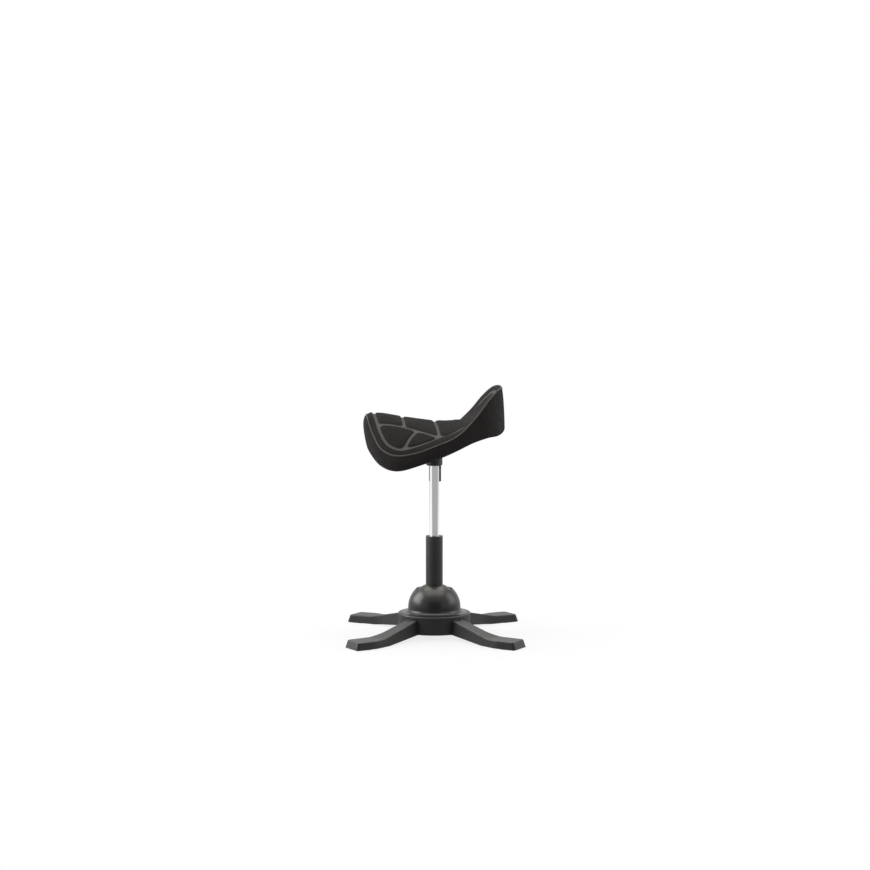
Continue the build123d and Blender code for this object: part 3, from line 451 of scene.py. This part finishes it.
def make_cushion():
    """The padded seat: quilted top, side band, hem turned under the pan."""
    places, faces, ring_before = cushion_top()
    top_count = len(places)
    distance, to_rim = channel_distance(places)
    inset = border_inset(places[:, 0])
    along = share_along(places[:, 0])
    sink = pad_sink * smooth_step(to_rim, inset - pad_shoulder, inset)
    sink *= 1 - smooth_step(along, *sink_ends)
    shoulder = 1 - (1 - np.clip(to_rim / inset, 0, 1)) ** 2
    roll = shoulder * (1 - smooth_step(to_rim, inset, roll_reach * inset))
    roll *= smooth_step(along, *roll_grows)
    from_channel = np.maximum(distance - channel_half_width, 0)
    start_puff = start_puff_share * pad_sink * (1 - np.exp(-from_channel / pad_shoulder))
    fold = seam_valley * np.exp(-((to_rim - valley_place) / valley_width) ** 2)
    places[:, 2] += np.where(to_rim > rim_edge, start_puff - fold, 0) + cantle_roll * roll - sink
    all_places = [places]
    all_faces = [tuple(face) for face in faces]
    count = top_count
    for ring in cushion_rings():
        ring_after = count + np.arange(loop_count)
        for s in range(loop_count):
            t = (s + 1) % loop_count
            all_faces.append((ring_before[s], ring_after[s], ring_after[t], ring_before[t]))
        all_places.append(ring)
        ring_before = ring_after
        count += loop_count
    piece = make_mesh_object("seat_cushion", np.vstack(all_places), all_faces)
    loose = np.zeros(count, bool)
    loose[:top_count] = (distance > channel_half_width) & (to_rim > rim_edge)
    flat_border = smooth_step(along, *border_flattens) * (to_rim < inset)
    limit = np.full(count, pad_swell_limit)
    limit[:top_count] *= 1 - border_loss * flat_border
    swell(piece, loose, limit)
    rounding = piece.modifiers.new("rounding", "SUBSURF")
    rounding.levels = 1
    rounding.render_levels = 1
    apply_modifier(piece, rounding)
    sew_channels(piece)
    close_underside(piece)
    return piece


def close_underside(piece):
    """Fill the hole that is left over the pan, and shade the piece smooth."""
    bpy.ops.object.select_all(action="DESELECT")
    piece.select_set(True)
    bpy.context.view_layer.objects.active = piece
    bpy.ops.object.mode_set(mode="EDIT")
    bpy.ops.mesh.select_all(action="DESELECT")
    bpy.ops.mesh.select_mode(type="EDGE")
    bpy.ops.mesh.select_non_manifold()
    bpy.ops.mesh.edge_face_add()
    bpy.ops.object.mode_set(mode="OBJECT")
    bpy.ops.object.shade_smooth()
    piece.select_set(False)


def sew_channels(piece):
    """Press the channels into the swollen top, and mark them for the fabric's finish."""
    far_away = 1.0
    mesh = piece.data
    places = read_places(mesh)
    normals = np.empty(len(places) * 3)
    mesh.vertex_normals.foreach_get("vector", normals)
    normals = normals.reshape(-1, 3)
    inside = top_height(places[:, 0], places[:, 1]) - places[:, 2] < top_depth
    distance = np.full(len(places), far_away)
    to_rim = np.zeros(len(places))
    distance[inside], to_rim[inside] = channel_distance(places[inside])
    on_top = inside & (to_rim > top_edge)
    groove_start = channel_half_width - channel_shoulder / 2
    groove_end = channel_half_width + channel_shoulder
    groove = np.where(on_top, 1 - smooth_step(distance, groove_start, groove_end), 0)
    fade = smooth_step(share_along(places[:, 0]), *channels_fade)
    depth = channel_depth * (1 - channel_loss * fade)
    write_places(mesh, places - normals * (groove * depth)[:, None])
    mark = mesh.attributes.new("channel", "FLOAT", "POINT")
    strip_start = channel_half_width - strip_inside
    strip_end = channel_half_width + strip_outside
    strip = 1 - smooth_step(distance, strip_start, strip_end)
    mark.data.foreach_set("value", np.where(on_top, strip, 0).astype(np.float32))


def make_piping():
    """Welt piping round the rim, where the quilted top meets the band."""
    share = np.arange(loop_count) / loop_count
    rim = along_loop(rim_curve, rim_curve, share)
    curve = bpy.data.curves.new("seat_piping", "CURVE")
    curve.dimensions = "3D"
    curve.bevel_depth = piping_radius
    curve.bevel_resolution = 3
    spline = curve.splines.new("POLY")
    spline.points.add(loop_count - 1)
    for point, place in zip(spline.points, rim):
        point.co = (*place, 1)
    spline.use_cyclic_u = True
    source = bpy.data.objects.new("piping_line", curve)
    mesh = bpy.data.meshes.new_from_object(source)
    bpy.data.objects.remove(source)
    mesh.name = "seat_piping"
    piece = bpy.data.objects.new("seat_piping", mesh)
    scene.collection.objects.link(piece)
    for face in mesh.polygons:
        face.use_smooth = True
    return piece


# Finishes

def new_group(name, inputs, outputs):
    """A shader node group with these inputs, as (name, kind, value), and number outputs."""
    group = bpy.data.node_groups.new(name, "ShaderNodeTree")
    for socket, kind, value in inputs:
        made = group.interface.new_socket(socket, in_out="INPUT", socket_type=kind)
        if value is not None:
            made.default_value = value
    for socket in outputs:
        group.interface.new_socket(socket, in_out="OUTPUT", socket_type="NodeSocketFloat")
    return group, group.nodes.new("NodeGroupInput"), group.nodes.new("NodeGroupOutput")


def add_math(tree, operation, first, second=0.0, third=0.0):
    """A math node fed by numbers or by other nodes' sockets."""
    node = tree.nodes.new("ShaderNodeMath")
    node.operation = operation
    for socket, value in zip(node.inputs, (first, second, third)):
        if isinstance(value, (int, float)):
            socket.default_value = value
        else:
            tree.links.new(value, socket)
    return node.outputs[0]


def make_weave_group():
    """Crossed threads at a pitch, and a shade from the threads and from uneven dye."""
    thread_share, dye_share = 0.45, 0.55
    group, given, result = new_group(
        "crossed weave",
        [("Vector", "NodeSocketVector", None), ("Threads per metre", "NodeSocketFloat", 600.0)],
        ["Height", "Shade"],
    )
    axes = group.nodes.new("ShaderNodeSeparateXYZ")
    group.links.new(given.outputs["Vector"], axes.inputs[0])
    turn = add_math(group, "MULTIPLY", given.outputs["Threads per metre"], tau)
    rising = add_math(group, "ADD", axes.outputs[0], axes.outputs[1])
    falling = add_math(group, "SUBTRACT", axes.outputs[0], axes.outputs[1])
    falling = add_math(group, "ADD", falling, axes.outputs[2])
    rising = add_math(group, "ADD", rising, axes.outputs[2])
    threads = [add_math(group, "SINE", add_math(group, "MULTIPLY", lay, turn)) for lay in (rising, falling)]
    crossed = add_math(group, "MULTIPLY", *threads)
    height = add_math(group, "MULTIPLY_ADD", crossed, 0.5, 0.5)
    dye = group.nodes.new("ShaderNodeTexNoise")
    dye.inputs["Scale"].default_value = 90.0
    dye.inputs["Detail"].default_value = 4.0
    group.links.new(given.outputs["Vector"], dye.inputs["Vector"])
    dyed = add_math(group, "MULTIPLY", dye.outputs[0], dye_share)
    shade = add_math(group, "MULTIPLY_ADD", height, thread_share, dyed)
    group.links.new(height, result.inputs["Height"])
    group.links.new(shade, result.inputs["Shade"])
    return group


def make_grain_group():
    """Fine moulded or sprayed grain, and broad unevenness from handling."""
    group, given, result = new_group(
        "surface grain",
        [
            ("Vector", "NodeSocketVector", None),
            ("Grain scale", "NodeSocketFloat", 900.0),
            ("Smudge scale", "NodeSocketFloat", 14.0),
        ],
        ["Height", "Smudge"],
    )
    grain = group.nodes.new("ShaderNodeTexNoise")
    grain.inputs["Detail"].default_value = 3.0
    group.links.new(given.outputs["Vector"], grain.inputs["Vector"])
    group.links.new(given.outputs["Grain scale"], grain.inputs["Scale"])
    smudge = group.nodes.new("ShaderNodeTexNoise")
    smudge.inputs["Detail"].default_value = 5.0
    smudge.inputs["Roughness"].default_value = 0.62
    group.links.new(given.outputs["Vector"], smudge.inputs["Vector"])
    group.links.new(given.outputs["Smudge scale"], smudge.inputs["Scale"])
    group.links.new(grain.outputs[0], result.inputs["Height"])
    group.links.new(smudge.outputs[0], result.inputs["Smudge"])
    return group


weave_group = make_weave_group()
grain_group = make_grain_group()


def new_material(name):
    """An empty node material with its Principled shader."""
    material = bpy.data.materials.new(name)
    material.use_nodes = True
    return material, material.node_tree, material.node_tree.nodes["Principled BSDF"]


def add_group(tree, group, **values):
    node = tree.nodes.new("ShaderNodeGroup")
    node.node_tree = group
    place = tree.nodes.new("ShaderNodeTexCoord")
    tree.links.new(place.outputs["Object"], node.inputs["Vector"])
    for socket, value in values.items():
        node.inputs[socket.replace("_", " ")].default_value = value
    return node


def add_blend(tree, factor, low, high):
    """Two colours blended by a changing value."""
    blend = tree.nodes.new("ShaderNodeMix")
    blend.data_type = "RGBA"
    tree.links.new(factor, blend.inputs["Factor"])
    for socket, colour in ((blend.inputs[6], low), (blend.inputs[7], high)):
        if isinstance(colour, tuple):
            socket.default_value = (*colour, 1)
        else:
            tree.links.new(colour, socket)
    return blend.outputs[2]


def add_range(tree, value, low, high):
    """A value that runs from 0 to 1 brought to this range."""
    ranged = tree.nodes.new("ShaderNodeMapRange")
    ranged.inputs["To Min"].default_value = low
    ranged.inputs["To Max"].default_value = high
    tree.links.new(value, ranged.inputs["Value"])
    return ranged.outputs[0]


def add_smooth_range(tree, value, span, change):
    """A smooth change from one number to another while the value goes through a span."""
    ranged = tree.nodes.new("ShaderNodeMapRange")
    ranged.interpolation_type = "SMOOTHSTEP"
    for socket, number in zip(("From Min", "From Max", "To Min", "To Max"), (*span, *change)):
        ranged.inputs[socket].default_value = number
    tree.links.new(value, ranged.inputs["Value"])
    return ranged.outputs[0]


def add_bump(tree, shader, height, distance, strength=1.0):
    bump = tree.nodes.new("ShaderNodeBump")
    bump.inputs["Distance"].default_value = distance
    bump.inputs["Strength"].default_value = strength
    tree.links.new(height, bump.inputs["Height"])
    tree.links.new(bump.outputs[0], shader.inputs["Normal"])


def grained_finish(name, dark, light, roughness, grain_scale, grain_height, **constants):
    """A finish with fine grain and uneven gloss: paint, plastic, rubber, nylon, foam or metal."""
    material, tree, shader = new_material(name)
    grain = add_group(tree, grain_group, Grain_scale=grain_scale)
    tree.links.new(add_blend(tree, grain.outputs["Smudge"], dark, light), shader.inputs["Base Color"])
    tree.links.new(add_range(tree, grain.outputs["Smudge"], *roughness), shader.inputs["Roughness"])
    add_bump(tree, shader, grain.outputs["Height"], grain_height)
    for socket, value in constants.items():
        shader.inputs[socket.replace("_", " ")].default_value = value
    return material


def quilt_fabric():
    """Woven seat cloth, with smooth pale strips in the sewn channels."""
    panel_dark, panel_light = (0.026, 0.0232, 0.0224), (0.044, 0.0392, 0.038)
    strip_dark, strip_light = (0.158, 0.138, 0.134), (0.208, 0.182, 0.177)
    thread_height = 0.35 * mm
    strip_relief = 0.3         # of the threads' height, in the strips
    material, tree, shader = new_material("quilt_fabric")
    weave = add_group(tree, weave_group, Threads_per_metre=420.0)
    mark = tree.nodes.new("ShaderNodeAttribute")
    mark.attribute_name = "channel"
    panel = add_blend(tree, weave.outputs["Shade"], panel_dark, panel_light)
    strip = add_blend(tree, weave.outputs["Shade"], strip_dark, strip_light)
    tree.links.new(add_blend(tree, mark.outputs["Fac"], panel, strip), shader.inputs["Base Color"])
    tree.links.new(add_range(tree, weave.outputs["Shade"], 0.95, 0.8), shader.inputs["Roughness"])
    smoother_strips = add_range(tree, mark.outputs["Fac"], 1.0, strip_relief)
    relief = add_math(tree, "MULTIPLY", weave.outputs["Height"], smoother_strips)
    add_bump(tree, shader, relief, thread_height)
    shader.inputs["Specular IOR Level"].default_value = 0.06
    shader.inputs["Sheen Weight"].default_value = 0.05
    shader.inputs["Sheen Roughness"].default_value = 0.5
    return material


def piping_cloth():
    """Pale bias tape over the piping cord."""
    tape_dark, tape_light = (0.104, 0.095, 0.090), (0.152, 0.140, 0.133)
    thread_height = 0.15 * mm
    material, tree, shader = new_material("piping_cloth")
    weave = add_group(tree, weave_group, Threads_per_metre=900.0)
    tape = add_blend(tree, weave.outputs["Shade"], tape_dark, tape_light)
    tree.links.new(tape, shader.inputs["Base Color"])
    tree.links.new(add_range(tree, weave.outputs["Shade"], 0.9, 0.7), shader.inputs["Roughness"])
    add_bump(tree, shader, weave.outputs["Height"], thread_height)
    shader.inputs["Specular IOR Level"].default_value = 0.25
    return material


finishes = {
    "casting_black": grained_finish(
        "powder_coat", (0.009, 0.0086, 0.0086), (0.014, 0.0134, 0.0134), (0.36, 0.5), 1400, 0.05 * mm,
        Specular_IOR_Level=0.4,
    ),
    "shell_black": grained_finish(
        "dome_plastic", (0.004, 0.004, 0.0041), (0.007, 0.007, 0.0071), (0.26, 0.36), 2200, 0.015 * mm,
        Specular_IOR_Level=0.4,
    ),
    "tube_black": grained_finish(
        "tube_paint", (0.020, 0.0192, 0.0185), (0.026, 0.025, 0.0242), (0.34, 0.46), 2600, 0.02 * mm,
        Specular_IOR_Level=0.4,
    ),
    "rubber_black": grained_finish(
        "foot_rubber", (0.011, 0.011, 0.011), (0.02, 0.0195, 0.019), (0.75, 0.92), 900, 0.08 * mm,
    ),
    "plastic_black": grained_finish(
        "moulded_plastic", (0.012, 0.012, 0.012), (0.018, 0.018, 0.018), (0.36, 0.5), 1800, 0.04 * mm,
    ),
    "nylon_white": grained_finish(
        "bearing_nylon", (0.68, 0.66, 0.60), (0.78, 0.77, 0.72), (0.45, 0.6), 1500, 0.03 * mm,
    ),
    "steel_bare": grained_finish(
        "turned_steel", (0.42, 0.42, 0.43), (0.55, 0.55, 0.56), (0.25, 0.42), 1800, 0.01 * mm, Metallic=1.0,
    ),
    "fastener_zinc": grained_finish(
        "zinc_plate", (0.50, 0.50, 0.49), (0.62, 0.62, 0.60), (0.3, 0.5), 2400, 0.015 * mm, Metallic=1.0,
    ),
    "lift_chrome": grained_finish(
        "lift_chrome", (0.88, 0.875, 0.87), (0.93, 0.925, 0.92), (0.05, 0.09), 2600, 0.001 * mm,
        Metallic=1.0,
    ),
    "foam_grey": grained_finish(
        "seat_foam", (0.25, 0.25, 0.26), (0.36, 0.36, 0.37), (0.9, 1.0), 700, 0.3 * mm,
    ),
    "fabric_dark": quilt_fabric(),
}

for subpart in frame["record"]["subparts"]:
    node = frame["nodes"][subpart["node"]]
    node.data.materials.clear()
    node.data.materials.append(finishes[subpart["material_slot"]])

cushion = make_cushion()
cushion.data.materials.append(finishes["fabric_dark"])
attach(cushion, "lift")
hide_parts("seat_cover", "seat_foam")

piping = make_piping()
piping.data.materials.append(piping_cloth())
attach(piping, "lift")


# Studio: a pale floor that fades to white, soft boxes, cards for the reflections and a white surround

def make_floor():
    """A pale floor: the camera sees it white with a soft shadow, and reflections see it greyer in front."""
    shadow_fades = (0.4, 1.1)       # distances from the column between which the shadow gives way to white
    slant = -0.33                   # turns the line from front to back towards one side
    front_to_back = (-1.4, 0.2)
    back_brightens = (0.46, 1.15)
    near_to_far = (0.5, 2.6)
    far_brightens = (0.62, 0.95)
    background_start = (1.0, 2.4)
    background_darkens = (1.0, 0.55)
    bpy.ops.mesh.primitive_circle_add(vertices=96, radius=40, fill_type="NGON", location=(0, 0, 0))
    floor = bpy.context.object
    floor.name = "floor"
    material, tree, shader = new_material("floor_white")
    shader.inputs["Base Color"].default_value = (0.55, 0.55, 0.55, 1)
    shader.inputs["Roughness"].default_value = 0.9
    shader.inputs["Specular IOR Level"].default_value = 0.0
    place = tree.nodes.new("ShaderNodeTexCoord")
    axes = tree.nodes.new("ShaderNodeSeparateXYZ")
    tree.links.new(place.outputs["Object"], axes.inputs[0])
    away = tree.nodes.new("ShaderNodeVectorMath")
    away.operation = "LENGTH"
    tree.links.new(place.outputs["Object"], away.inputs[0])
    to_white = add_smooth_range(tree, away.outputs["Value"], shadow_fades, (0.0, 1.0))
    behind = add_math(tree, "MULTIPLY_ADD", axes.outputs[0], slant, axes.outputs[1])
    grey = add_smooth_range(tree, behind, front_to_back, back_brightens)
    far_share = add_smooth_range(tree, away.outputs["Value"], near_to_far, far_brightens)
    grey = add_math(tree, "MULTIPLY", grey, far_share)
    background_share = add_smooth_range(tree, axes.outputs[1], background_start, background_darkens)
    grey = add_math(tree, "MULTIPLY", grey, background_share)
    rays = tree.nodes.new("ShaderNodeLightPath")

    def mix(factor, first, second):
        node = tree.nodes.new("ShaderNodeMixShader")
        for socket, output in zip(node.inputs, (factor, first, second)):
            tree.links.new(output, socket)
        return node.outputs[0]

    def glow(strength):
        node = tree.nodes.new("ShaderNodeEmission")
        if isinstance(strength, float):
            node.inputs["Strength"].default_value = strength
        else:
            tree.links.new(strength, node.inputs["Strength"])
        return node.outputs[0]

    shaded = tree.nodes.new("ShaderNodeBsdfDiffuse")
    shaded.inputs["Color"].default_value = (0.28, 0.28, 0.28, 1)
    lit = tree.nodes.new("ShaderNodeAddShader")
    tree.links.new(shaded.outputs[0], lit.inputs[0])
    tree.links.new(glow(0.8), lit.inputs[1])
    seen = mix(to_white, lit.outputs[0], glow(1.0))
    surface = mix(rays.outputs["Is Camera Ray"], shader.outputs[0], seen)
    surface = mix(rays.outputs["Is Glossy Ray"], surface, glow(grey))
    tree.links.new(surface, tree.nodes["Material Output"].inputs["Surface"])
    floor.data.materials.append(material)


def make_world():
    """White to the camera and in reflections, and a weak fill light for the rest."""
    fill_strength = 0.29
    world = bpy.data.worlds.new("white_surround")
    scene.world = world
    world.use_nodes = True
    tree = world.node_tree
    fill = tree.nodes["Background"]
    fill.inputs["Strength"].default_value = fill_strength
    fill.inputs["Color"].default_value = (1, 1, 1, 1)
    white = tree.nodes.new("ShaderNodeBackground")
    white.inputs["Color"].default_value = (1, 1, 1, 1)
    rays = tree.nodes.new("ShaderNodeLightPath")
    seen = add_math(tree, "MAXIMUM", rays.outputs["Is Camera Ray"], rays.outputs["Is Glossy Ray"])
    seen = add_math(tree, "MAXIMUM", seen, rays.outputs["Is Transmission Ray"])
    mix = tree.nodes.new("ShaderNodeMixShader")
    tree.links.new(seen, mix.inputs[0])
    tree.links.new(fill.outputs[0], mix.inputs[1])
    tree.links.new(white.outputs[0], mix.inputs[2])
    tree.links.new(mix.outputs[0], tree.nodes["World Output"].inputs["Surface"])


def add_softbox(name, place, target, width, height, radiance, in_reflections):
    """A soft box of this size and brightness that faces a target."""
    light = bpy.data.lights.new(name, "AREA")
    light.shape = "RECTANGLE"
    light.size = width
    light.size_y = height
    light.energy = radiance * np.pi * width * height
    box = bpy.data.objects.new(name, light)
    box.location = place
    box.rotation_euler = (Vector(target) - Vector(place)).to_track_quat("-Z", "Y").to_euler()
    box.visible_glossy = in_reflections
    scene.collection.objects.link(box)


def add_card(name, place, lean, turn, width, height, radiance, tint=(1, 1, 1)):
    """A card that only reflections see, and only from its front."""
    bpy.ops.mesh.primitive_plane_add(size=1, location=place, rotation=(radians(lean), 0, radians(turn)))
    card = bpy.context.object
    card.name = name
    card.scale = (width, height, 1)
    material, tree, _ = new_material(name)
    glow = tree.nodes.new("ShaderNodeEmission")
    glow.inputs["Strength"].default_value = radiance
    glow.inputs["Color"].default_value = (*tint, 1)
    clear = tree.nodes.new("ShaderNodeBsdfTransparent")
    side = tree.nodes.new("ShaderNodeNewGeometry")
    front_only = tree.nodes.new("ShaderNodeMixShader")
    tree.links.new(side.outputs["Backfacing"], front_only.inputs[0])
    tree.links.new(glow.outputs[0], front_only.inputs[1])
    tree.links.new(clear.outputs[0], front_only.inputs[2])
    tree.links.new(front_only.outputs[0], tree.nodes["Material Output"].inputs["Surface"])
    card.data.materials.append(material)
    card.visible_camera = False
    card.visible_diffuse = False
    card.visible_shadow = False


def add_camera():
    """A camera at the photographed angle: a long lens, higher than the seat and looking slightly down."""
    sideways_pixels = 0.7
    distance, height = 7.322, 1.287
    azimuth, pitch = radians(-2.0), radians(5.427)
    focal_pixels, image_pixels, sensor = 2509.0, 870.0, 36.0
    camera = bpy.data.cameras.new("camera")
    camera.sensor_width = sensor
    camera.lens = focal_pixels / image_pixels * sensor
    camera.shift_x = sideways_pixels / image_pixels
    camera.clip_end = 200
    seen_from = bpy.data.objects.new("camera", camera)
    seen_from.location = (sin(azimuth) * distance, -cos(azimuth) * distance, height)
    seen_from.rotation_euler = (radians(90) - pitch, 0, azimuth)
    scene.collection.objects.link(seen_from)
    scene.camera = seen_from


make_floor()
make_world()
aim = (0, 0, 0.4)
warm_white = (1.0, 0.94, 0.88)
add_card("front_card", (0, -8.5, 2.0), lean=-90, turn=0, width=9, height=7, radiance=0.25)
add_card("left_card", (-2.0, 0.2, 1.4), lean=90, turn=90, width=1.7, height=1.7, radiance=8.2)
add_card("right_card", (2.0, 0.1, 1.35), lean=90, turn=-90, width=1.3, height=1.8, radiance=3.5)
add_card("under_card", (0, 0, 0.48), lean=180, turn=0, width=0.5, height=0.5, radiance=4.2, tint=warm_white)
add_softbox("left_box", (-2.6, -0.3, 1.3), aim, width=1.3, height=2.2, radiance=2.8, in_reflections=False)
add_softbox("right_box", (2.6, -0.1, 1.3), aim, width=1.3, height=2.2, radiance=1.3, in_reflections=False)
add_softbox("top_box", (0, 0.2, 3.2), aim, width=2.6, height=2.0, radiance=2.2, in_reflections=True)
add_camera()
scene.view_settings.view_transform = "Standard"
